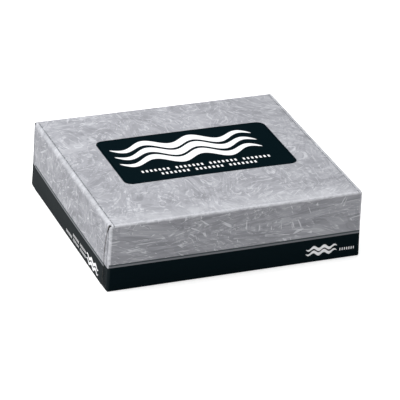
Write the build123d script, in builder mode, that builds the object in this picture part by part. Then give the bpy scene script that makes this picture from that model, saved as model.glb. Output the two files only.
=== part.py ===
from build123d import *
import os

os.makedirs("parts", exist_ok=True)

# A flat, sealed paperboard carton of folded tissues, as one closed solid in millimetres.
# The origin is the middle of the base, +Z is up and +X runs along the long side.
# The front is the -Y side, and the two glued ends are the X sides.

# Closed carton
length = 142.0
width = 127.0
height = 38.0
board = 0.5
fold_radius = 1.6

# End flaps: side edges are measured inwards from the vertical folds
hinge_inset = 2.0
side_inset = 7.0
taper_drop = 15.0
taper_radius = 18.0
outer_flap_gap = 0.8
inner_flap_reach = 26.0
flap_corner_radius = 2.5

# Slits at the top corners, each beside the outer flap's hinge
slit_mouth = 0.8
slit_drop = 5.0
slit_depth = 2.4
slit_top_gap = 0.4

# Scored creases beside the folds
crease_width = 0.6
crease_depth = 0.18
top_crease_inset = 2.4
dust_crease_inset = 3.4

# Lapped seam along the lower back fold: the back panel stops short of the base
seam_height = 1.8

# Perforated tear line round the opening in the top, cut just inside this outline
opening_length = 98.0
opening_width = 52.0
opening_corner_radius = 4.5
opening_shift_x = 2.2
opening_shift_y = 4.1
cut_width = 0.3
cut_pitch = 5.0
bridge_width = 1.2

# Each end is three boards deep: the dust flaps, then the inner flap, then the outer flap
outer_face = length / 2
inner_face = outer_face - board
dust_face = inner_face - board
flap_root = dust_face - fold_radius - board
flap_hinge_half = width / 2 - hinge_inset
flap_side_half = width / 2 - side_inset

# A crease is a shallow round groove, cut by a circle that dips below the board's face
crease_radius = (crease_width**2 / 4 + crease_depth**2) / (2 * crease_depth)
crease_lift = crease_radius - crease_depth


def flap_outline(hinge_z, taper_z, free_z):
    """A flap's outline in Y and Z, from its hinge down one tapered side and up the other."""
    return [
        (flap_hinge_half, hinge_z),
        (flap_side_half, taper_z),
        (flap_side_half, free_z),
        (-flap_side_half, free_z),
        (-flap_side_half, taper_z),
        (-flap_hinge_half, hinge_z),
    ]


# Outer end flap, hinged on the top panel and glued down over the others
with BuildPart() as outer_flap:
    with BuildSketch(Plane.YZ.offset(flap_root)) as outer_outline:
        with BuildLine():
            Polyline(*flap_outline(height, height - taper_drop, outer_flap_gap), close=True)
        make_face()
        free_corners, taper_corners, hinge_corners = outer_outline.vertices().group_by(Axis.Y)
        fillet(free_corners, flap_corner_radius)
        fillet(taper_corners, taper_radius)
    extrude(amount=outer_face - flap_root)
    top_fold = outer_flap.edges().filter_by(Axis.Y).group_by(Axis.Z)[-1].sort_by(Axis.X)[-1]
    fillet(top_fold, fold_radius)

# Inner end flap, hinged on the bottom panel, between the dust flaps and the outer flap
with BuildPart() as inner_flap:
    with BuildSketch(Plane.YZ.offset(flap_root)) as inner_outline:
        with BuildLine():
            Polyline(*flap_outline(0, taper_drop, inner_flap_reach), close=True)
        make_face()
        hinge_corners, taper_corners, free_corners = inner_outline.vertices().group_by(Axis.Y)
        fillet(free_corners, flap_corner_radius)
        fillet(taper_corners, taper_radius)
    extrude(amount=inner_face - flap_root)
    base_fold = inner_flap.edges().filter_by(Axis.Y).group_by(Axis.Z)[0].sort_by(Axis.X)[-1]
    fillet(base_fold, fold_radius)

# The tear line's straight sides are each divided evenly, and each corner's arc is one cut
long_side = opening_length - 2 * opening_corner_radius
short_side = opening_width - 2 * opening_corner_radius
long_cuts = round(long_side / cut_pitch)
short_cuts = round(short_side / cut_pitch)
bridge_reach = 4 * cut_width

with BuildPart() as carton:
    # Top, front, bottom and back panels, with the dust flaps folded in at both ends
    with BuildSketch():
        Rectangle(2 * dust_face, width)
    extrude(amount=height)
    fillet(carton.edges(), fold_radius)

    # Lapped seam: the bottom panel's glue strip goes up inside the back panel
    with BuildSketch(Plane.YZ.offset(-dust_face)):
        with Locations((width / 2 - board, seam_height)):
            Rectangle(2 * board, 2 * seam_height, align=(Align.MIN, Align.MAX))
    extrude(amount=2 * dust_face, mode=Mode.SUBTRACT)

    # Creases on the dust flaps, beside the vertical folds
    crease_x = dust_face + crease_lift
    crease_y = width / 2 - dust_crease_inset
    with BuildSketch(Plane.XY.offset(fold_radius)):
        with GridLocations(2 * crease_x, 2 * crease_y, 2, 2):
            Circle(crease_radius)
    extrude(amount=height - 2 * fold_radius, mode=Mode.SUBTRACT)

    # Inner and outer flaps at both ends
    add(inner_flap.part)
    mirror(inner_flap.part, about=Plane.YZ)
    add(outer_flap.part)
    mirror(outer_flap.part, about=Plane.YZ)

    # Creases on the top panel, beside the outer flaps' hinges
    with BuildSketch(Plane.XZ):
        with Locations((0, height + crease_lift)):
            with GridLocations(2 * (outer_face - top_crease_inset), 0, 2, 1):
                Circle(crease_radius)
    extrude(amount=flap_hinge_half, both=True, mode=Mode.SUBTRACT)

    # Slits beside the outer flaps' hinges, narrowing down each flap's side edge
    slit_foot = flap_hinge_half - (side_inset - hinge_inset) * slit_drop / taper_drop
    for end in (-1, 1):
        with BuildSketch(Plane.YZ.offset(end * outer_face)):
            for side in (-1, 1):
                with BuildLine():
                    Polyline(
                        (side * flap_hinge_half, height - slit_top_gap),
                        (side * (flap_hinge_half + slit_mouth), height - slit_top_gap),
                        (side * slit_foot, height - slit_drop),
                        close=True,
                    )
                make_face()
        extrude(amount=-end * slit_depth, mode=Mode.SUBTRACT)

    # Perforated tear line: cuts right through the board, with a bridge between each two
    with BuildSketch(Plane.XY.offset(height)):
        with Locations((opening_shift_x, opening_shift_y)):
            RectangleRounded(opening_length, opening_width, opening_corner_radius)
            RectangleRounded(
                opening_length - 2 * cut_width,
                opening_width - 2 * cut_width,
                opening_corner_radius - cut_width,
                mode=Mode.SUBTRACT,
            )
            with GridLocations(long_side / long_cuts, opening_width, long_cuts + 1, 2):
                Rectangle(bridge_width, bridge_reach, mode=Mode.SUBTRACT)
            with GridLocations(opening_length, short_side / short_cuts, 2, short_cuts + 1):
                Rectangle(bridge_reach, bridge_width, mode=Mode.SUBTRACT)
    extrude(amount=-board, mode=Mode.SUBTRACT)

carton.part.label = "carton"
export_step(carton.part, "parts/carton.step")
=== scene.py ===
import math
import bpy
import numpy as np
from mathutils import Matrix, Vector


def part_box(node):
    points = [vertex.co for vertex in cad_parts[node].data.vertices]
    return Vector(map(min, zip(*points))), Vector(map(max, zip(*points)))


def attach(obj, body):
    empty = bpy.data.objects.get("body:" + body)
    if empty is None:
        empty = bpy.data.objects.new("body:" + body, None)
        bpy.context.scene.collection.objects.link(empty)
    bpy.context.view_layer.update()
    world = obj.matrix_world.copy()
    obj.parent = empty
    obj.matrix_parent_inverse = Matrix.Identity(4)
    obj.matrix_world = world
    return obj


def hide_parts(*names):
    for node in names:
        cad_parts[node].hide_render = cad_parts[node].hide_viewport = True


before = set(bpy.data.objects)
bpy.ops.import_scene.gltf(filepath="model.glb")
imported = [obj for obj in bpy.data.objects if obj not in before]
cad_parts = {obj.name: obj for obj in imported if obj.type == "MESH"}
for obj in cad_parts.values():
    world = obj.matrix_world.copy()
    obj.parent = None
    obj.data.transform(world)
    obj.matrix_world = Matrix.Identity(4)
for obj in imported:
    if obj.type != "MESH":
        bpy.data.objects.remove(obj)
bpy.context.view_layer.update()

mm = 0.001
cartonLow, cartonHigh = (np.array(corner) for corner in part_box("carton"))
cartonSize = cartonHigh - cartonLow
cartonMiddle = (cartonLow + cartonHigh) / 2
print("frame loaded, carton", np.round(cartonSize / mm, 2), "mm")


# Camera

cameraSetup = {
    "lens": 227.0,              # mm, on a 36 mm sensor
    "distance": 1.3458,         # from the aim point
    "heading": 22.64,           # degrees from +Y towards +X
    "dive": 27.43,              # degrees below the horizon
    "roll": 3.17,               # degrees, upright edges lean right
    "aimShift": (-1.7 * mm, -14.1 * mm, 0.0),   # from the carton's middle
    "clip": (0.05, 50.0),       # nearest and furthest things seen
}


def addCamera(setup):
    # Looks along heading and dive at the aim point, then turns about that line by roll
    heading, dive, roll = (math.radians(setup[key]) for key in ("heading", "dive", "roll"))
    level = math.cos(dive)
    forward = Vector((math.sin(heading) * level, math.cos(heading) * level, -math.sin(dive)))
    levelRight = forward.cross(Vector((0, 0, 1))).normalized()
    levelUp = levelRight.cross(forward)
    up = levelUp * math.cos(roll) - levelRight * math.sin(roll)
    right = forward.cross(up)
    data = bpy.data.cameras.new("studioCamera")
    data.lens = setup["lens"]
    data.clip_start, data.clip_end = setup["clip"]
    camera = bpy.data.objects.new("studioCamera", data)
    aim = Vector(cartonMiddle) + Vector(setup["aimShift"])
    axes = Matrix((right, up, -forward)).transposed().to_4x4()
    camera.matrix_world = Matrix.Translation(aim - forward * setup["distance"]) @ axes
    bpy.context.scene.collection.objects.link(camera)
    bpy.context.scene.camera = camera


addCamera(cameraSetup)
bpy.context.scene.view_settings.view_transform = "Standard"
print("camera set")


# Node helpers: each works in the tree that it is given

def addNode(tree, kind, inputs=None, **settings):
    # A node of one kind with its settings, whose inputs are values or other nodes' outputs
    made = tree.nodes.new(kind)
    for key, value in settings.items():
        setattr(made, key, value)
    for key, value in (inputs or {}).items():
        if isinstance(value, bpy.types.NodeSocket):
            tree.links.new(value, made.inputs[key])
        else:
            made.inputs[key].default_value = value
    return made


def calc(tree, operation, *values):
    # One step of arithmetic on numbers
    return addNode(tree, "ShaderNodeMath", dict(enumerate(values)), operation=operation).outputs[0]


def farFrom(tree, value, middle):
    # How far a value is from a middle, either way
    return calc(tree, "ABSOLUTE", calc(tree, "SUBTRACT", value, middle))


def vectorCalc(tree, operation, first, second):
    # One step of arithmetic on places
    return addNode(tree, "ShaderNodeVectorMath", {0: first, 1: second}, operation=operation).outputs[0]


def step(tree, value, start, end):
    # Rises from 0 to 1, or falls from 1 to 0, while the value goes from start to end
    inputs = {"Value": value, "From Min": start, "From Max": end}
    return addNode(tree, "ShaderNodeMapRange", inputs, clamp=True).outputs["Result"]


def blendColour(tree, amount, first, second):
    # The first colour where amount is 0 and the second where it is 1
    return addNode(tree, "ShaderNodeMix", {0: amount, 6: first, 7: second}, data_type="RGBA").outputs[2]


def grey(level, warm=0.0, cool=0.0):
    # A linear colour from a display level of 0 to 255, with a little red or blue added
    rgb = [((level + shift) / 255.0) ** 2.2 for shift in (warm, 0.0, cool)]
    return (*rgb, 1.0)


def newMaterial(name):
    # An empty material and its tree
    material = bpy.data.materials.new(name)
    material.use_nodes = True
    material.node_tree.nodes.clear()
    return material, material.node_tree


def addSurface(tree, inputs):
    # A surface shader with its inputs, led to the material's output
    shader = addNode(tree, "ShaderNodeBsdfPrincipled", inputs)
    output = addNode(tree, "ShaderNodeOutputMaterial")
    tree.links.new(shader.outputs[0], output.inputs["Surface"])


# Sizes of the folded carton

boardSetup = {
    "board": 0.5 * mm,
    "wallInset": 0.4 * mm,      # the walls' ends, inside the carton's own
    "panelInset": 0.45 * mm,    # front and back before they swell
    "topRise": 0.25 * mm,       # the whole top stands this much higher, over the full stack
    "endLean": 0.46 * mm,       # the ends come in this much at the top and go out as much at the base
    "outerProud": 0.32 * mm,    # faces of the end flaps, past the walls; their backs sink in
    "innerProud": 0.15 * mm,
    "topRadius": 1.4 * mm,      # folds at the top and up the corners
    "baseRadius": 0.9 * mm,
    "radiusRise": 9.0 * mm,     # height over which one turns into the other
    "foldSteps": 5,             # grid lines in half a fold
    "coarse": 4.0 * mm,         # widest gap between grid lines
    "crownTop": 0.55 * mm,      # the panels swell a little over the stack inside
    "crownSide": 0.45 * mm,
    "seamHeight": 1.8 * mm,     # the back panel stops this far above the base
    "creaseDepth": 0.2 * mm,
    "creaseWidth": 0.28 * mm,
    "creaseInset": 2.1 * mm,    # crease line on the top, from the walls' ends
    "dustCreaseInset": 3.0 * mm,
    "dustLean": 1.0 * mm,       # the dust flaps' creases spread this much towards the top
    "dustLeanFrom": 20.0 * mm,  # from this height on
    "dustLeanRise": 18.0 * mm,
    "beadFall": 0.15 * mm,      # the dust flaps curve away towards the upright folds
}

wallHalf = cartonSize[0] / 2 - boardSetup["wallInset"]
halfDeep = cartonSize[1] / 2 - boardSetup["panelInset"]
tall = cartonSize[2] + boardSetup["topRise"]
creaseX = wallHalf - boardSetup["creaseInset"]
shapeMiddle = np.array([cartonMiddle[0], cartonMiddle[1], cartonLow[2] + tall / 2])


# Printed board: lengths in mm, heights above the base, colours as display levels

marbleSetup = {
    "pushScale": 0.020,         # slow noise that pushes places about
    "pushReach": 46.0,
    "swirlStretch": (0.34, 0.45, 1.2),
    "swirlTurn": (0.75, 0.60, 0.5),
    "swirlScale": 0.13,
    "contours": 9.0,            # contour lines between the swirl's lowest and highest
    "flakeScale": 0.24,
    "flakeJitter": (0.16, 11.0),
    "largeStrokes": (19.0, 15.0, 2.8),    # cell, length and breadth
    "smallStrokes": (9.0, 8.0, 1.4),
    "needles": (13.0, 12.0, 0.9),
    "strokeTurn": (2.8, (1.0, 1.9, 1.4)),   # radians: widest turn, and what is taken off it
    "shares": (0.26, 0.30, 0.26, 0.16),   # of swirl, flakes, large and small strokes in the tone
    "pale": grey(161, -1, 5),
    "deepGrey": grey(127, -1, 5),
    "veinWhite": grey(204, -1, 5),
    "veinAmount": 0.30,
    "veinExtra": 0.34,          # more on the front and the left end
    "paleLines": 0.36,
    "darkLines": 0.50,
    "sideStretch": (0.42, 0.40),   # front and back: drawn out along x, drawn in along z
}

printSetup = {
    "bandTop": 13.92,
    "paleLineTop": 14.86,       # thin pale line over the band
    "darkLineTop": 15.7,        # thin dark line over that
    "endDrop": 1.0,             # the print sits this much lower on the end flaps
    "endSkew": 0.011,           # and a little askew: lower still towards the front
    "stripDrop": 0.3,           # and this much on the strips beside them, where there are no lines
    "labelSize": (98.3, 52.4),
    "labelCorner": 4.8,
    "labelShift": (1.9, 3.6),   # from the middle of the top
    "black": grey(22, -13, 4),
    # black of the upright folds: worn ink and a painted highlight
    "wornAndHighlitBlack": grey(44, -6, 2),
    # pale of the folds, made of worn ink and a painted highlight; the top's paler strip towards the front
    # also uses it
    "paleInkAndHighlight": grey(214, -1, 5),
    "lineGrey": grey(112, -3, 4),
    # dark of the printed line over the band, and of the painted shade in the creases
    "printLineAndShadeBlack": grey(72, -4, 3),
    "inkWhite": grey(228, 0, 2),
    "foldRubAndHighlight": 0.62,            # how far the folds turn pale, with worn ink and a painted highlight, all round and at the end folds
    "endFoldRubAndHighlight": 0.45,
    "frontPale": 0.18,          # the top pales by this much towards the front
    # dark line of the top's creases: painted crease shade, with broken ink
    "creaseShadeAndInk": 0.70,
    # dark line of the dust flaps' creases: painted crease shade
    "dustCreaseShade": 0.55,
    "bandWearAndHighlight": 0.5,
    "leftVeins": 0.75,          # veins of the left end, against the front's
    "specular": 0.015,
}

edgeSetup = {                   # dark and light tones: fibres of the cut edge, and painted shade inside the slits
    "cutBoard": (grey(92, 3, -4), grey(124, 3, -4)),
    "slitShade": (grey(22, 1, -1), grey(34, 1, -1)),
}

# Plain motif. A ribbon: middle, length, rise, half waves, thickness. A row of ticks: middle, size, pitch.
motifSetup = {
    "label": {
        "ribbons": [((-3.4, -2.6), 82.0, 3.4, 3.0, 6.4), ((-3.4, 5.8), 82.0, 3.4, 3.0, 6.4),
                    ((-3.4, 14.2), 82.0, 3.4, 3.0, 6.4)],
        "ticks": [((0.3, -14.3), (74.4, 2.3), 2.4), ((0.3, -19.0), (55.2, 2.3), 2.4)],
    },
    "front": {
        "ribbons": [((48.6, 8.2), 18.0, 0.8, 3.0, 2.2), ((48.6, 5.5), 18.0, 0.8, 3.0, 2.2)],
        "ticks": [((63.3, 5.7), (9.1, 1.5), 1.3)],
    },
    "leftEnd": {
        "ribbons": [((-41.0, 6.4), 19.0, 0.8, 3.0, 2.2), ((-41.0, 3.7), 19.0, 0.8, 3.0, 2.2)],
        "ticks": [((-20.3, 6.3), (21.0, 1.5), 1.4), ((-14.7, 3.6), (32.2, 1.5), 1.4)],
    },
}


def roundedDistance(tree, across, along, middle, size, corner):
    # Distance outside a rounded rectangle: how far past its inner rectangle, less the corner's radius
    offsetA = calc(tree, "SUBTRACT", farFrom(tree, across, middle[0]), size[0] / 2 - corner)
    offsetB = calc(tree, "SUBTRACT", farFrom(tree, along, middle[1]), size[1] / 2 - corner)
    outA = calc(tree, "MAXIMUM", offsetA, 0.0)
    outB = calc(tree, "MAXIMUM", offsetB, 0.0)
    squares = calc(tree, "ADD", calc(tree, "MULTIPLY", outA, outA), calc(tree, "MULTIPLY", outB, outB))
    inside = calc(tree, "MINIMUM", calc(tree, "MAXIMUM", offsetA, offsetB), 0.0)
    return calc(tree, "SUBTRACT", calc(tree, "ADD", calc(tree, "SQRT", squares), inside), corner)


def ribbonShape(tree, across, along, middle, length, rise, waves, thickness):
    # 1 inside a wavy ribbon: a sine line whose thickness falls to nothing at both ends
    place = calc(tree, "DIVIDE", calc(tree, "SUBTRACT", across, middle[0]), length / 2)
    wave = calc(tree, "MULTIPLY", calc(tree, "SINE", calc(tree, "MULTIPLY", place, waves * math.pi)), rise)
    off = farFrom(tree, calc(tree, "SUBTRACT", along, middle[1]), wave)
    left = calc(tree, "SUBTRACT", 1.0, calc(tree, "MULTIPLY", place, place))
    half = calc(tree, "MULTIPLY", calc(tree, "SQRT", calc(tree, "MAXIMUM", left, 0.0)), thickness / 2)
    return step(tree, calc(tree, "SUBTRACT", off, half), 0.0, -0.24)


def tickRow(tree, across, along, middle, size, pitch):
    # 1 inside the short upright ticks of a row, in groups of seven with one left out: each place is folded
    # into one tick's cell, and into one group's
    offset = calc(tree, "SUBTRACT", across, middle[0] - size[0] / 2)
    cell = calc(tree, "FRACT", calc(tree, "DIVIDE", offset, pitch))
    group = calc(tree, "FRACT", calc(tree, "DIVIDE", offset, pitch * 8))
    tick = calc(tree, "MULTIPLY", step(tree, farFrom(tree, cell, 0.5), 0.27, 0.17),
                step(tree, group, 0.87, 0.86))
    row = step(tree, farFrom(tree, across, middle[0]), size[0] / 2 + 0.02, size[0] / 2 - 0.02)
    high = step(tree, farFrom(tree, along, middle[1]), size[1] / 2 + 0.1, size[1] / 2 - 0.1)
    return calc(tree, "MULTIPLY", tick, calc(tree, "MULTIPLY", row, high))


def either(tree, *shapes):
    # The largest of several masks
    joined = shapes[0]
    for shape in shapes[1:]:
        joined = calc(tree, "MAXIMUM", joined, shape)
    return joined


def motif(tree, across, along, shapes):
    # 1 inside any of a face's ribbons and rows of ticks
    ribbons = [ribbonShape(tree, across, along, *ribbon) for ribbon in shapes["ribbons"]]
    rows = [tickRow(tree, across, along, *row) for row in shapes["ticks"]]
    return either(tree, *ribbons, *rows)


def strokes(tree, place, setup, size):
    # Short straight strokes: each cell of a Voronoi turns the noise its own way, and the noise is drawn out
    # along two axes, so that any face cuts it into strokes
    cell, length, breadth = size
    widest, less = setup["strokeTurn"]
    cells = addNode(tree, "ShaderNodeTexVoronoi", {"Vector": place, "Scale": 1 / cell})
    turn = vectorCalc(tree, "MULTIPLY", cells.outputs["Color"], (widest, widest, widest))
    turn = vectorCalc(tree, "SUBTRACT", turn, less)
    turned = addNode(tree, "ShaderNodeVectorRotate", {"Vector": place, "Rotation": turn},
                     rotation_type="EULER_XYZ").outputs[0]
    drawn = vectorCalc(tree, "DIVIDE", turned, (length, length, breadth))
    return addNode(tree, "ShaderNodeTexNoise", {"Vector": drawn, "Scale": 1.0, "Detail": 1.0,
                                                "Roughness": 0.55, "Distortion": 0.5}).outputs["Fac"]


def pushed(tree, place, scale, detail, reach):
    # Places moved by a noise's three channels, each less a half, times reach
    noise = addNode(tree, "ShaderNodeTexNoise", {"Vector": place, "Scale": scale, "Detail": detail})
    push = vectorCalc(tree, "SUBTRACT", noise.outputs["Color"], (0.5, 0.5, 0.5))
    return vectorCalc(tree, "MULTIPLY", push, (reach, reach, reach))


def marbledGrey(tree, place, setup, veined):
    # Tone on tone: places pushed about by slow noise, then read as long flat flakes, strokes, and contour
    # lines of a drawn-out swirl; fine veins are stronger where veined is 1
    push = pushed(tree, place, setup["pushScale"], 0.8, setup["pushReach"])
    swirled = vectorCalc(tree, "ADD", place, push)
    swirlPlace = addNode(tree, "ShaderNodeMapping", {"Vector": swirled, "Scale": setup["swirlStretch"],
                                                     "Rotation": setup["swirlTurn"]}).outputs[0]
    swirl = addNode(tree, "ShaderNodeTexNoise", {"Vector": swirlPlace, "Scale": setup["swirlScale"],
                                                 "Detail": 2.0, "Roughness": 0.45,
                                                 "Distortion": 0.8}).outputs["Fac"]
    large = strokes(tree, swirled, setup, setup["largeStrokes"])
    small = strokes(tree, swirled, setup, setup["smallStrokes"])
    needles = strokes(tree, place, setup, setup["needles"])

    # flakes: drawn-out cells of one tone each
    jitterScale, jitterReach = setup["flakeJitter"]
    jitter = pushed(tree, swirlPlace, jitterScale, 2.0, jitterReach)
    flakePlace = vectorCalc(tree, "ADD", swirlPlace, jitter)
    cells = addNode(tree, "ShaderNodeTexVoronoi", {"Vector": flakePlace, "Scale": setup["flakeScale"]})
    flake = addNode(tree, "ShaderNodeSeparateXYZ", {0: cells.outputs["Color"]}).outputs[0]

    # thin contour lines of the swirl, pale ones and dark ones side by side, that come and go
    turns = calc(tree, "FRACT", calc(tree, "MULTIPLY", swirl, setup["contours"]))
    paleLines = calc(tree, "MULTIPLY", step(tree, farFrom(tree, turns, 0.45), 0.11, 0.03),
                     step(tree, small, 0.44, 0.56))
    darkLines = calc(tree, "MULTIPLY", step(tree, farFrom(tree, turns, 0.62), 0.11, 0.03),
                     step(tree, small, 0.56, 0.44))

    # veins: a thin line where the large strokes pass their middle, and the peaks of the needles
    vein = calc(tree, "MULTIPLY", step(tree, farFrom(tree, large, 0.52), 0.016, 0.005),
                step(tree, small, 0.48, 0.56))
    vein = calc(tree, "MAXIMUM", vein, step(tree, needles, 0.665, 0.695))

    layers = (step(tree, swirl, 0.42, 0.56), flake, step(tree, large, 0.46, 0.56),
              step(tree, small, 0.42, 0.60))
    tone = 0.0
    for layer, share in zip(layers, setup["shares"]):
        tone = calc(tree, "ADD", tone, calc(tree, "MULTIPLY", layer, share))
    colour = blendColour(tree, tone, setup["deepGrey"], setup["pale"])
    paleAmount = calc(tree, "MULTIPLY", paleLines, setup["paleLines"])
    colour = blendColour(tree, paleAmount, colour, setup["veinWhite"])
    darkAmount = calc(tree, "MULTIPLY", darkLines, setup["darkLines"])
    colour = blendColour(tree, darkAmount, colour, setup["deepGrey"])
    strength = calc(tree, "ADD", setup["veinAmount"], calc(tree, "MULTIPLY", veined, setup["veinExtra"]))
    return blendColour(tree, calc(tree, "MULTIPLY", vein, strength), colour, setup["veinWhite"])


def printedBoard(setup):
    # Millimetres from the middle of the base: marbled grey, a dark band with two thin lines, a dark label;
    # painted highlights on the folds and painted shade in the creases
    material, tree = newMaterial("printedBoard")
    coords = addNode(tree, "ShaderNodeTexCoord").outputs["Object"]
    shift = [-cartonMiddle[0] / mm, -cartonMiddle[1] / mm, -cartonLow[2] / mm]
    place = addNode(tree, "ShaderNodeMapping", {"Vector": coords, "Scale": (1 / mm, 1 / mm, 1 / mm),
                                                "Location": shift}).outputs[0]
    x, y, z = addNode(tree, "ShaderNodeSeparateXYZ", {0: place}).outputs
    halfY, top = halfDeep / mm, tall / mm
    fromMiddleY = calc(tree, "ABSOLUTE", y)

    # how far past the leaning end of the walls: the end flaps stand a little past it
    lean = boardSetup["endLean"] / mm
    wallEnd = calc(tree, "SUBTRACT", wallHalf / mm + lean, calc(tree, "MULTIPLY", z, 2 * lean / top))
    pastEnd = calc(tree, "SUBTRACT", calc(tree, "ABSOLUTE", x), wallEnd)
    onTop = step(tree, z, top - 1.2, top - 0.6)
    onEnd = step(tree, pastEnd, -0.6, -0.4)
    onFlap = step(tree, pastEnd, 0.05, 0.13)
    offFlap = calc(tree, "SUBTRACT", 1.0, onFlap)
    onStrip = calc(tree, "MULTIPLY", onEnd, offFlap)
    onFront = step(tree, y, -halfY + 1.0, -halfY + 0.6)
    onSide = step(tree, fromMiddleY, halfY - 1.0, halfY - 0.6)
    onLeft = calc(tree, "MULTIPLY", onFlap, step(tree, x, 0.0, -1.0))

    # the marbling is drawn out along the front and the back
    stretchX, stretchZ = marbleSetup["sideStretch"]
    drawnX = calc(tree, "MULTIPLY", x, calc(tree, "SUBTRACT", 1.0, calc(tree, "MULTIPLY", onSide, stretchX)))
    drawnZ = calc(tree, "MULTIPLY", z, calc(tree, "ADD", 1.0, calc(tree, "MULTIPLY", onSide, stretchZ)))
    drawnPlace = addNode(tree, "ShaderNodeCombineXYZ", {0: drawnX, 1: y, 2: drawnZ}).outputs[0]
    veined = calc(tree, "MAXIMUM", onFront, calc(tree, "MULTIPLY", onLeft, setup["leftVeins"]))
    marbled = marbledGrey(tree, drawnPlace, marbleSetup, veined)

    # folds: the ink is stretched paler where the board turns, and a painted highlight lightens them further
    cornerX = step(tree, pastEnd, -1.5, -0.9)
    cornerY = step(tree, fromMiddleY, halfY - 1.6, halfY - 0.9)
    upright = calc(tree, "MULTIPLY", calc(tree, "MINIMUM", cornerX, cornerY), offFlap)
    longFold = calc(tree, "MINIMUM", step(tree, fromMiddleY, halfY - 1.5, halfY - 0.8),
                    step(tree, z, top - 1.5, top - 0.8))
    endFold = calc(tree, "MINIMUM", step(tree, pastEnd, -2.4, -1.0), step(tree, z, top - 2.4, top - 0.8))
    endFold = calc(tree, "MULTIPLY", endFold, setup["endFoldRubAndHighlight"])
    breakupNoise = addNode(tree, "ShaderNodeTexNoise", {"Vector": place, "Scale": 0.5, "Detail": 3.0}).outputs[0]
    rubAndHighlight = calc(tree, "MULTIPLY", either(tree, upright, longFold, endFold), step(tree, breakupNoise, 0.15, 0.60))
    marbled = blendColour(tree, calc(tree, "MULTIPLY", rubAndHighlight, setup["foldRubAndHighlight"]), marbled, setup["paleInkAndHighlight"])
    nearFront = calc(tree, "MULTIPLY", step(tree, y, -halfY + 15.0, -halfY + 5.0), onTop)
    paleAmount = calc(tree, "MULTIPLY", nearFront, setup["frontPale"])
    marbled = blendColour(tree, paleAmount, marbled, setup["paleInkAndHighlight"])

    # scored creases: a dashed dark line beside the end folds, painted shade of the crease together with ink
    # broken in it
    creaseOff = farFrom(tree, pastEnd, -boardSetup["creaseInset"] / mm)
    crease = calc(tree, "MULTIPLY", step(tree, creaseOff, 0.42, 0.12), onTop)
    crease = calc(tree, "MULTIPLY", crease, step(tree, breakupNoise, 0.40, 0.52))
    creaseShadeAmount = calc(tree, "MULTIPLY", crease, setup["creaseShadeAndInk"])
    marbled = blendColour(tree, creaseShadeAmount, marbled, setup["printLineAndShadeBlack"])

    # creases of the dust flaps, which spread towards the top, drawn as a dark line of painted crease shade
    leanFrom, leanRise = boardSetup["dustLeanFrom"] / mm, boardSetup["dustLeanRise"] / mm
    spread = calc(tree, "MULTIPLY", step(tree, z, leanFrom, leanFrom + leanRise), boardSetup["dustLean"] / mm)
    dustOff = farFrom(tree, calc(tree, "SUBTRACT", fromMiddleY, spread),
                      halfY - boardSetup["dustCreaseInset"] / mm)
    dustCreaseShadeLine = calc(tree, "MULTIPLY", step(tree, dustOff, 0.45, 0.20), onStrip)
    dustShadeAmount = calc(tree, "MULTIPLY", dustCreaseShadeLine, setup["dustCreaseShade"])
    marbled = blendColour(tree, dustShadeAmount, marbled, setup["printLineAndShadeBlack"])

    # band round the base
    flapDrop = calc(tree, "SUBTRACT", setup["endDrop"], calc(tree, "MULTIPLY", y, setup["endSkew"]))
    level = calc(tree, "ADD", z, calc(tree, "MULTIPLY", onFlap, flapDrop))
    level = calc(tree, "ADD", level, calc(tree, "MULTIPLY", onStrip, setup["stripDrop"]))
    lined = calc(tree, "SUBTRACT", 1.0, onStrip)
    darkTop, paleTop, bandTop = setup["darkLineTop"], setup["paleLineTop"], setup["bandTop"]
    inDark = calc(tree, "MULTIPLY", step(tree, level, darkTop + 0.1, darkTop - 0.1), lined)
    inPale = calc(tree, "MULTIPLY", step(tree, level, paleTop + 0.1, paleTop - 0.1), lined)
    inBand = step(tree, level, bandTop + 0.1, bandTop - 0.1)
    colour = blendColour(tree, inDark, marbled, setup["printLineAndShadeBlack"])
    colour = blendColour(tree, inPale, colour, setup["lineGrey"])
    # the band turns paler on the upright folds: worn ink and a painted highlight
    wearAndHighlight = calc(tree, "MULTIPLY", upright, setup["bandWearAndHighlight"])
    bandColour = blendColour(tree, wearAndHighlight, setup["black"], setup["wornAndHighlitBlack"])
    colour = blendColour(tree, inBand, colour, bandColour)

    # label on the top, and the motif on it, on the front's band and on the left end's
    labelX = calc(tree, "SUBTRACT", x, setup["labelShift"][0])
    labelY = calc(tree, "SUBTRACT", y, setup["labelShift"][1])
    labelOff = roundedDistance(tree, labelX, labelY, (0.0, 0.0), setup["labelSize"], setup["labelCorner"])
    inLabel = calc(tree, "MULTIPLY", step(tree, labelOff, 0.12, -0.12), onTop)
    colour = blendColour(tree, inLabel, colour, setup["black"])
    white = either(tree, calc(tree, "MULTIPLY", motif(tree, labelX, labelY, motifSetup["label"]), onTop),
                   calc(tree, "MULTIPLY", motif(tree, x, z, motifSetup["front"]), onFront),
                   calc(tree, "MULTIPLY", motif(tree, y, z, motifSetup["leftEnd"]), onLeft))
    colour = blendColour(tree, white, colour, setup["inkWhite"])

    # board surface: fine fibre under the print, and a slow unevenness
    fibre = addNode(tree, "ShaderNodeTexNoise", {"Vector": place, "Scale": 2.6, "Detail": 4.0}).outputs[0]
    slack = addNode(tree, "ShaderNodeTexNoise", {"Vector": place, "Scale": 0.09, "Detail": 1.0}).outputs[0]
    relief = calc(tree, "ADD", calc(tree, "MULTIPLY", fibre, 0.02), calc(tree, "MULTIPLY", slack, 0.5))
    bump = addNode(tree, "ShaderNodeBump", {"Height": relief, "Strength": 0.35, "Distance": 0.4 * mm})
    roughness = addNode(tree, "ShaderNodeMapRange", {"Value": fibre, "To Min": 0.40, "To Max": 0.52})
    addSurface(tree, {"Base Color": colour, "Roughness": roughness.outputs[0],
                      "Specular IOR Level": setup["specular"],
                      "Normal": bump.outputs[0]})
    return material


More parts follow.
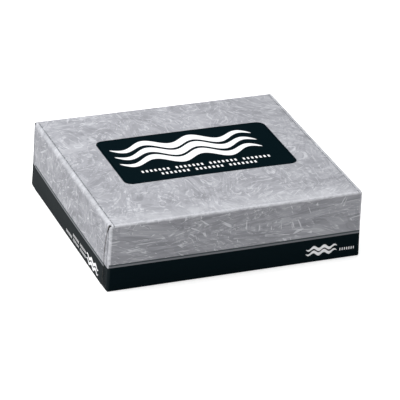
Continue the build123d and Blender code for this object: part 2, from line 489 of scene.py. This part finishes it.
def cutBoard(name, dark, light):
    # Raw edge of the board: speckled fibre in two tones; in dark tones, the painted shade inside the slits
    material, tree = newMaterial(name)
    coords = addNode(tree, "ShaderNodeTexCoord").outputs["Object"]
    fibre = addNode(tree, "ShaderNodeTexNoise", {"Vector": coords, "Scale": 2400.0, "Detail": 4.0}).outputs[0]
    colour = blendColour(tree, step(tree, fibre, 0.3, 0.7), dark, light)
    bump = addNode(tree, "ShaderNodeBump", {"Height": fibre, "Strength": 0.4, "Distance": 0.1 * mm})
    addSurface(tree, {"Base Color": colour, "Roughness": 0.9, "Specular IOR Level": 0.05,
                      "Normal": bump.outputs[0]})
    return material


printed = printedBoard(printSetup)
cut = cutBoard("cutBoard", *edgeSetup["cutBoard"])
# painted shade for the inside of the slits
slitShade = cutBoard("slitShade", *edgeSetup["slitShade"])
print("materials made")


# End flaps and the tear-out opening

flapSetup = {
    "hingeInset": 2.1 * mm,     # side edges, inwards from the upright folds
    "sideInset": 6.4 * mm,
    "taperDrop": 19.5 * mm,     # height over which the first turns into the second
    "outerGap": 0.7 * mm,       # under the outer flap's free edge
    "innerReach": 26.0 * mm,
    "cornerRadius": 2.0 * mm,
    "crush": 0.10 * mm,         # die-cut edges are pressed down this much
    "lift": 0.12 * mm,          # free corners curl out this much further than the rest
    "columns": 61,
    "rowStep": 1.2 * mm,
    "rim": 0.12 * mm,           # outermost strip of the grid, for the crushed edge
    "slitMouth": 1.5 * mm,      # slits beside the outer flap's hinge
    "slitDrop": 5.4 * mm,
    "slitDepth": 2.6 * mm,
}

tearSetup = {
    "size": (97.0 * mm, 51.2 * mm),
    "corner": 4.4 * mm,
    "shift": (1.9 * mm, 3.6 * mm),
    "cutWidth": 0.3 * mm,
    "pitch": 5.0 * mm,          # of the cuts, nearly: each side is divided evenly
    "bridge": 1.2 * mm,         # uncut board between two cuts
    "depth": 0.4 * mm,
    "cornerStep": 0.22 * mm,    # between grid lines at the rounded corners
}


def bulge(across, along):
    # Swell of a panel: 1 in its middle, falling smoothly to nothing with no slope at its edges
    insideA = np.clip(1 - across ** 2, 0, 1)
    insideB = np.clip(1 - along ** 2, 0, 1)
    return insideA ** 1.5 * insideB ** 1.5


def flapHalfWidth(drop):
    # Half width of an end flap: its side inset grows from the hinge as a quarter of a sine
    quarter = np.sin(np.clip(drop / flapSetup["taperDrop"], 0, 1) * math.pi / 2)
    inset = flapSetup["hingeInset"] + (flapSetup["sideInset"] - flapSetup["hingeInset"]) * quarter
    return halfDeep - inset


def tearDepth(x, y):
    # Depth of the tear line: a V about the rounded outline, absent at the bridges
    x = x - tearSetup["shift"][0]
    y = y - tearSetup["shift"][1]
    corner = tearSetup["corner"]
    straightX = tearSetup["size"][0] / 2 - corner
    straightY = tearSetup["size"][1] / 2 - corner
    outX = np.maximum(np.abs(x) - straightX, 0)
    outY = np.maximum(np.abs(y) - straightY, 0)
    inside = np.minimum(np.maximum(np.abs(x) - straightX, np.abs(y) - straightY), 0)
    distance = np.hypot(outX, outY) + inside - corner
    groove = np.clip(1 - np.abs(distance + tearSetup["cutWidth"] / 2) / (tearSetup["cutWidth"] / 2), 0, 1)
    # along the outline: how far the nearest bridge's middle is
    pitchX = 2 * straightX / round(2 * straightX / tearSetup["pitch"])
    pitchY = 2 * straightY / round(2 * straightY / tearSetup["pitch"])
    alongX = (x + straightX) % pitchX
    alongY = (y + straightY) % pitchY
    arc = np.arctan2(outY, outX) * corner
    arcEnd = math.pi / 2 * corner
    nearest = np.where(outX * outY > 0, np.minimum(arc, arcEnd - arc),
                       np.where(np.abs(y) - straightY > np.abs(x) - straightX,
                                np.minimum(alongX, pitchX - alongX), np.minimum(alongY, pitchY - alongY)))
    return tearSetup["depth"] * groove * (nearest > tearSetup["bridge"] / 2 + 0.01 * mm)


def tearLines(axis):
    # Grid lines that catch the tear line: each cut's two ends, the three lines of the V and both corners
    corner = tearSetup["corner"]
    shift = tearSetup["shift"][axis]
    half = tearSetup["size"][axis] / 2
    straight = half - corner
    count = round(2 * straight / tearSetup["pitch"])
    bridges = np.linspace(-straight, straight, count + 1)
    ends = tearSetup["bridge"] / 2 + np.array([0.0, 0.15 * mm])
    cuts = np.concatenate([(bridges[:, None] + ends).ravel(), (bridges[:, None] - ends).ravel()])
    groove = half - np.array([0.0, 0.5, 1.0]) * tearSetup["cutWidth"]
    arcs = np.arange(straight, half, tearSetup["cornerStep"])
    return shift + np.concatenate([cuts, groove, -groove, arcs, -arcs])


def foldRadius(z):
    # Radius of the folds at a height: it grows smoothly from the base's to the top's
    rise = np.clip(z / boardSetup["radiusRise"], 0, 1)
    smooth = rise ** 2 * (3 - 2 * rise)
    return boardSetup["baseRadius"] + (boardSetup["topRadius"] - boardSetup["baseRadius"]) * smooth


def leaned(points):
    # The ends lean out towards the base: x is stretched in proportion to how far below mid-height it is
    lean = boardSetup["endLean"] / wallHalf * (1 - 2 * points[:, 2:] / tall)
    return points * np.concatenate([1 + lean, np.ones_like(lean), np.ones_like(lean)], axis=1)


def gridLines(half, radius, lines):
    # Lines across the box: even turns round both folds, the given lines where they are over 0.04 mm apart,
    # and a coarse fill between them
    turn = np.linspace(0, math.pi / 4, boardSetup["foldSteps"] + 1)
    folds = half - radius + radius * np.tan(turn)
    flat = half - radius
    inner = np.asarray(lines)
    inner = inner[np.abs(inner) < flat - 0.03 * mm]
    inner = np.concatenate([inner, [-flat, flat]])
    inner = np.unique(np.round(inner, 7))
    inner = inner[np.concatenate([[True], np.diff(inner) > 0.04 * mm])]
    gaps = np.diff(inner)
    fill = [np.linspace(low, low + gap, int(gap / boardSetup["coarse"]) + 2)[1:-1]
            for low, gap in zip(inner, gaps) if gap > boardSetup["coarse"]]
    return np.unique(np.round(np.concatenate([inner, folds, -folds, *fill]), 8))


def boxFaces(lines, half):
    # Six grids on the faces of a sharp box, sharing the lines of each axis; points and outward quads
    points, quads, start = [], [], 0
    for axis in range(3):
        first, second = (axis + 1) % 3, (axis + 2) % 3
        gridA, gridB = np.meshgrid(lines[first], lines[second], indexing="ij")
        rows, columns = gridA.shape
        index = np.arange(rows * columns).reshape(rows, columns)
        corners = np.stack([index[:-1, :-1], index[1:, :-1], index[1:, 1:], index[:-1, 1:]], -1)
        corners = corners.reshape(-1, 4)
        for sign in (1, -1):
            face = np.empty((rows * columns, 3))
            face[:, axis] = sign * half[axis]
            face[:, first] = gridA.ravel()
            face[:, second] = gridB.ravel()
            points.append(face)
            quads.append((corners if sign > 0 else corners[:, ::-1]) + start)
            start += len(face)
    return np.concatenate(points), np.concatenate(quads)


def sewn(points, quads):
    # Points that share a place become one point
    keys, firsts, places = np.unique(np.round(points, 8), axis=0, return_index=True, return_inverse=True)
    return points[firsts], places.ravel()[quads]


def wallShape():
    # A rounded box: each point of the sharp box is drawn in to an inner box, then pushed out by the fold's
    # radius; panels then swell, and creases, slits, the seam and the tear line are sunk into them
    radius = boardSetup["topRadius"]
    half = np.array([wallHalf, halfDeep, tall / 2])
    slitLines = np.arange(halfDeep - 5.2 * mm, halfDeep - radius, 0.22 * mm)
    crease = creaseX + np.array([-0.5, -0.25, 0.0, 0.2]) * mm
    seamZ = boardSetup["seamHeight"] - tall / 2
    slitTop = tall / 2 - radius
    lines = [
        gridLines(half[0], radius, np.concatenate([tearLines(0), crease, -crease])),
        gridLines(half[1], radius, np.concatenate([tearLines(1), slitLines, -slitLines])),
        gridLines(half[2], radius, np.concatenate([[seamZ, seamZ - 0.05 * mm],
                                                   np.arange(slitTop - 5 * mm, slitTop, 0.4 * mm)])),
    ]
    sharp, quads = boxFaces(lines, half)
    sharp, quads = sewn(sharp, quads)
    turn = foldRadius(sharp[:, 2:] + tall / 2)
    inner = np.clip(sharp, -(half - turn), half - turn)
    normal = sharp - inner
    normal /= np.linalg.norm(normal, axis=1, keepdims=True)
    points = inner + normal * turn
    points[:, 2] += tall / 2
    x, y, z = points.T.copy()

    # swelling of the top, the front and the back
    top = normal[:, 2] > 0.999
    side = np.abs(normal[:, 1]) > 0.999
    points[:, 2] += top * boardSetup["crownTop"] * bulge(x / (creaseX - 1 * mm), y / (halfDeep - radius))
    sideBulge = bulge(x / (half[0] - radius), (z / tall - 0.5) * 2.1)
    points[:, 1] += np.sign(y) * side * boardSetup["crownSide"] * sideBulge

    # tear line in the top, creases at the ends, and the seat of the end flaps beyond them
    points[:, 2] -= top * tearDepth(x, y)
    creaseOff = (np.abs(x) - creaseX) / boardSetup["creaseWidth"]
    seat = np.where(creaseOff > 0, 1.0, np.exp(-creaseOff ** 2))
    seat = seat * (np.abs(y) < halfDeep - flapSetup["hingeInset"] - 0.1 * mm) * (np.abs(normal[:, 2]) > 0.05)
    points -= boardSetup["creaseDepth"] * seat[:, None] * normal

    # dust flaps: they curve away towards the upright folds, behind a crease that spreads towards the top
    end = np.abs(normal[:, 0]) > 0.3
    lean = np.clip((z - boardSetup["dustLeanFrom"]) / boardSetup["dustLeanRise"], 0, 1) ** 1.5
    creaseY = halfDeep - boardSetup["dustCreaseInset"] + lean * boardSetup["dustLean"]
    strip = np.clip((np.abs(y) - creaseY) / boardSetup["dustCreaseInset"], 0, 1)
    fall = boardSetup["beadFall"] * strip ** 1.5
    dustOff = (np.abs(y) - creaseY) / boardSetup["creaseWidth"]
    flat = np.abs(normal[:, 0]) > 0.999
    fall = fall + flat * 0.5 * boardSetup["creaseDepth"] * np.exp(-dustOff ** 2)

    # slits beside the outer flap's hinge, closing as they go down
    drop = tall - z
    edge = flapHalfWidth(drop)
    mouth = flapSetup["slitMouth"] * np.clip(1 - drop / flapSetup["slitDrop"], 0, 1)
    slit = (np.abs(y) > edge - 0.6 * mm) & (np.abs(y) < edge + mouth) & (drop < flapSetup["slitDrop"])
    slit = slit & (drop > 0.3 * mm) & end
    fall = fall * end + slit * flapSetup["slitDepth"]
    points[:, 0] -= np.sign(x) * fall

    # lapped seam: under the back panel's edge the glue strip lies one board further in
    lap = (z < boardSetup["seamHeight"] - 0.03 * mm) & (y > halfDeep - boardSetup["board"])
    points[:, 1] = np.where(lap, halfDeep - boardSetup["board"], points[:, 1])
    points[:, 2] -= tall / 2

    # raw board shows on the seam's ledge, painted shade inside the slits
    ledge = lap[quads].any(axis=1) & ~lap[quads].all(axis=1)
    return points, quads, np.where(slit[quads].any(axis=1), 2, ledge.astype(int))


def meshVolume(points, quads):
    # Signed volume: the sum over both halves of every quad of a sixth of its corners' triple product
    a, b, c, d = (points[quads[:, i]] - cartonMiddle for i in range(4))
    triple = np.einsum("ij,ij->i", a, np.cross(b, c)) + np.einsum("ij,ij->i", a, np.cross(c, d))
    return triple.sum() / 6


def makePiece(name, points, quads, raw):
    # A mesh object at the origin from points about the carton's middle, quads, and each quad's material:
    # 0 printed, 1 raw board, 2 painted shade
    points = leaned(points + [0, 0, tall / 2]) + shapeMiddle - [0, 0, tall / 2]
    if meshVolume(points, quads) < 0:
        quads = quads[:, ::-1]
    mesh = bpy.data.meshes.new(name)
    mesh.vertices.add(len(points))
    mesh.vertices.foreach_set("co", points.astype(np.float32).ravel())
    mesh.loops.add(quads.size)
    mesh.loops.foreach_set("vertex_index", quads.astype(np.int32).ravel())
    mesh.polygons.add(len(quads))
    mesh.polygons.foreach_set("loop_start", np.arange(0, quads.size, 4, dtype=np.int32))
    for material in (printed, cut, slitShade):
        mesh.materials.append(material)
    mesh.polygons.foreach_set("material_index", raw.astype(np.int32))
    mesh.update(calc_edges=True)
    mesh.validate()
    mesh.shade_smooth()
    mesh.set_sharp_from_angle(angle=math.radians(38))
    piece = bpy.data.objects.new(name, mesh)
    bpy.context.scene.collection.objects.link(piece)
    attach(piece, "root")
    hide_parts("carton")
    print(name, len(quads), "faces")


def flapShape(end, fromTop, proud, reach, start):
    # A sheet carried along a path: flat on the panel, a quarter turn, then down the end. Its width follows
    # the flap's outline, and its back is one board inside its front
    face = wallHalf + proud
    radius = boardSetup["topRadius" if fromTop else "baseRadius"] + proud
    turn = np.linspace(0, math.pi / 2, 9)
    downs = np.linspace(radius, reach, int((reach - radius) / flapSetup["rowStep"]))
    nearEdge = reach - np.concatenate([[flapSetup["rim"]], np.arange(0.5, 2.1, 0.5) * mm])
    downs = np.unique(np.concatenate([downs, nearEdge]))
    panelX = np.array([start, start + 0.15 * mm, start + 0.3 * mm, start + 0.5 * mm])
    pathX = np.concatenate([panelX, face - radius + radius * np.sin(turn), np.full(len(downs) - 1, face)])
    pathDrop = np.concatenate([np.zeros(4), radius - radius * np.cos(turn), downs[1:]])
    normalX = np.concatenate([np.zeros(4), np.sin(turn), np.ones(len(downs) - 1)])
    normalUp = np.concatenate([np.ones(4), np.cos(turn), np.zeros(len(downs) - 1)])

    half = flapHalfWidth(pathDrop)
    corner = flapSetup["cornerRadius"]
    past = np.clip((pathDrop - (reach - corner)) / corner, 0, 1)
    half = half - corner * (1 - np.sqrt(1 - past ** 2))
    spread = np.linspace(-1, 1, flapSetup["columns"])
    rim = flapSetup["rim"] / halfDeep
    spread = np.unique(np.concatenate([spread, [-1 + rim, 1 - rim, -1 + 4 * rim, 1 - 4 * rim]]))
    across = half[:, None] * spread

    # the front: swollen in the middle, crushed at its cut edges, lifted at its free corners
    down = np.clip((pathDrop - radius) / (reach - radius), 0, 1)[:, None]
    fullness = boardSetup["crownSide"] * (1.0 if fromTop else 0.6)
    swell = fullness * bulge(spread, 0) * np.sin(down * math.pi) ** 1.5
    lift = flapSetup["lift"] * np.abs(spread) ** 6 * down ** 2
    edge = np.maximum(np.abs(spread) > 1 - rim / 2, down > 1 - 0.002)
    front = swell + lift - flapSetup["crush"] * edge
    creaseOff = (pathX - start) / boardSetup["creaseWidth"]
    front = front - (boardSetup["creaseDepth"] * np.exp(-creaseOff ** 2) * (pathDrop == 0))[:, None]
    back = swell + lift - boardSetup["board"]

    def sheet(offset):
        # The path moved along its own normal by offset, across the flap's whole width
        x = end * (pathX[:, None] + offset * normalX[:, None])
        drop = pathDrop[:, None] - offset * normalUp[:, None]
        z = tall - drop if fromTop else drop
        return np.stack([x + 0 * across, across, z - tall / 2 + 0 * across], -1)

    # each row is a closed ring: across the front and back along the inside
    rings = np.concatenate([sheet(front), sheet(back)[:, ::-1]], axis=1)
    rows, count = rings.shape[:2]
    index = np.arange(rows * count).reshape(rows, count)
    here, after = index, np.roll(index, -1, axis=1)
    quads = np.stack([here[:-1], after[:-1], after[1:], here[1:]], -1).reshape(-1, 4)
    columns = count // 2
    raw = np.tile(np.arange(count) >= columns - 1, rows - 1)
    ends = []
    for row, flip in ((0, False), (rows - 1, True)):
        outside, inside = index[row, :columns], index[row, columns:][::-1]
        cap = np.stack([outside[:-1], inside[:-1], inside[1:], outside[1:]], -1)
        ends.append(cap[:, ::-1] if flip else cap)
    quads = np.concatenate([quads, *ends])
    raw = np.concatenate([raw, np.ones(2 * (columns - 1), bool)])
    return rings.reshape(-1, 3), quads, raw


makePiece("cartonWalls", *wallShape())
outerReach = tall - flapSetup["outerGap"]
for end, side in ((-1, "Left"), (1, "Right")):
    inner = flapShape(end, False, boardSetup["innerProud"], flapSetup["innerReach"], creaseX)
    outer = flapShape(end, True, boardSetup["outerProud"], outerReach, creaseX)
    makePiece("innerFlap" + side, *inner)
    makePiece("outerFlap" + side, *outer)


# Floor and light

studioSetup = {
    "floorSize": 8.0,
    "floorGlow": 0.64,          # light of its own, as on a lit table
    "floorLevel": (0.62, 0.62, 0.62, 1.0),
    "skyLevel": 0.11,           # on the carton and the floor
    "softboxes": (              # name, place from the carton, size, power
        ("overhead", (-0.30, 0.35, 1.6), 2.0, 48.0),
        ("leftSide", (-0.31, 0.04, 0.40), 0.24, 1.10),
    ),
}


def addFloor(setup):
    # A square sheet under the carton, lit a little from within
    half = setup["floorSize"] / 2
    z = float(cartonLow[2])
    mesh = bpy.data.meshes.new("floor")
    corners = [(-half, -half, z), (half, -half, z), (half, half, z), (-half, half, z)]
    mesh.from_pydata(corners, [], [(0, 1, 2, 3)])
    floor = bpy.data.objects.new("floor", mesh)
    bpy.context.scene.collection.objects.link(floor)
    material = bpy.data.materials.new("paleFloor")
    material.use_nodes = True
    shader = material.node_tree.nodes["Principled BSDF"]
    shader.inputs["Base Color"].default_value = setup["floorLevel"]
    shader.inputs["Roughness"].default_value = 0.9
    shader.inputs["Specular IOR Level"].default_value = 0.0
    shader.inputs["Emission Color"].default_value = (1.0, 1.0, 1.0, 1.0)
    shader.inputs["Emission Strength"].default_value = setup["floorGlow"]
    mesh.materials.append(material)


def addSky(setup):
    # Even white light from all round, dimmer on the carton than it looks behind it
    world = bpy.data.worlds.new("studioSky")
    world.use_nodes = True
    tree = world.node_tree
    background = tree.nodes["Background"]
    background.inputs["Color"].default_value = (1.0, 1.0, 1.0, 1.0)
    seen = addNode(tree, "ShaderNodeLightPath").outputs["Is Camera Ray"]
    strength = addNode(tree, "ShaderNodeMapRange", {"Value": seen, "To Min": setup["skyLevel"]})
    tree.links.new(strength.outputs["Result"], background.inputs["Strength"])
    bpy.context.scene.world = world


def addSoftbox(name, place, size, power):
    # A square lamp that faces the carton
    data = bpy.data.lights.new(name, "AREA")
    data.size = size
    data.energy = power
    lamp = bpy.data.objects.new(name, data)
    lamp.location = Vector(cartonMiddle) + Vector(place)
    lamp.rotation_euler = (-Vector(place)).to_track_quat("-Z", "Y").to_euler()
    bpy.context.scene.collection.objects.link(lamp)


addFloor(studioSetup)
addSky(studioSetup)
for softbox in studioSetup["softboxes"]:
    addSoftbox(*softbox)
print("floor and light set")
